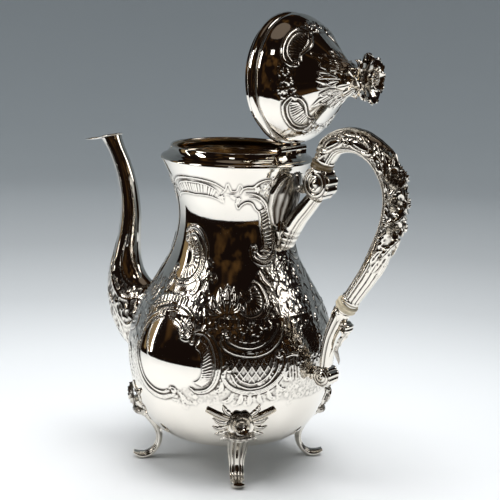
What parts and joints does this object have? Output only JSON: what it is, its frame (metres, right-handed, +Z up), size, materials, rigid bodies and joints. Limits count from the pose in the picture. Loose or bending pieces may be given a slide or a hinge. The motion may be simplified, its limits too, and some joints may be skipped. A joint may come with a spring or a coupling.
{
  "type": "coffee pot",
  "caption": "Footed silver coffee pot with a pear-shaped body, swan-neck spout, insulated loop handle and a hinged domed lid with a flower finial",
  "frame": {"origin": "on the table, midway along the overall length from the tip of the pouring tongue to the back of the handle's flowers, and on the plane of symmetry", "axes": "+Z up, +X from the spout towards the handle, +Y to the left of someone who looks from the spout towards the handle"},
  "size_m": [0.2455, 0.1266, 0.2734],
  "materials": {
    "silver": "polished silver",
    "bone": "satin, bone or ivory coloured"
  },
  "bodies": {
    "pot": {"body_shell": "silver", "mouth_band": "silver", "spout": "silver", "spout_lip": "silver", "foot_front_left": "silver", "foot_front_right": "silver", "foot_back_left": "silver", "foot_back_right": "silver", "rose_front_left": "silver", "rose_front_right": "silver", "rose_back_left": "silver", "rose_back_right": "silver", "upper_socket": "silver", "upper_insulator": "bone", "handle": "silver", "handle_leaf": "silver", "handle_garland": "silver", "lower_insulator": "bone", "lower_socket": "silver", "upper_socket_pin": "silver", "upper_handle_pin": "silver", "lower_handle_pin": "silver", "lower_socket_pin": "silver", "hinge_plate": "silver", "hinge_pin": "silver"},
    "lid": {"lid_dome": "silver", "lid_rim": "silver", "lid_bezel": "silver", "lid_hinge": "silver", "finial_calyx": "silver", "finial_flower": "silver", "finial_stud": "silver", "finial_washer": "silver", "finial_nut": "silver"}
  },
  "joints": [
    {"name": "lid_hinge", "type": "hinge", "parent": "pot", "child": "lid", "pos_m": [0.042, 0, 0.1958], "axis": [0, 1, 0], "range_deg": [-86.5, 0]}
  ]
}
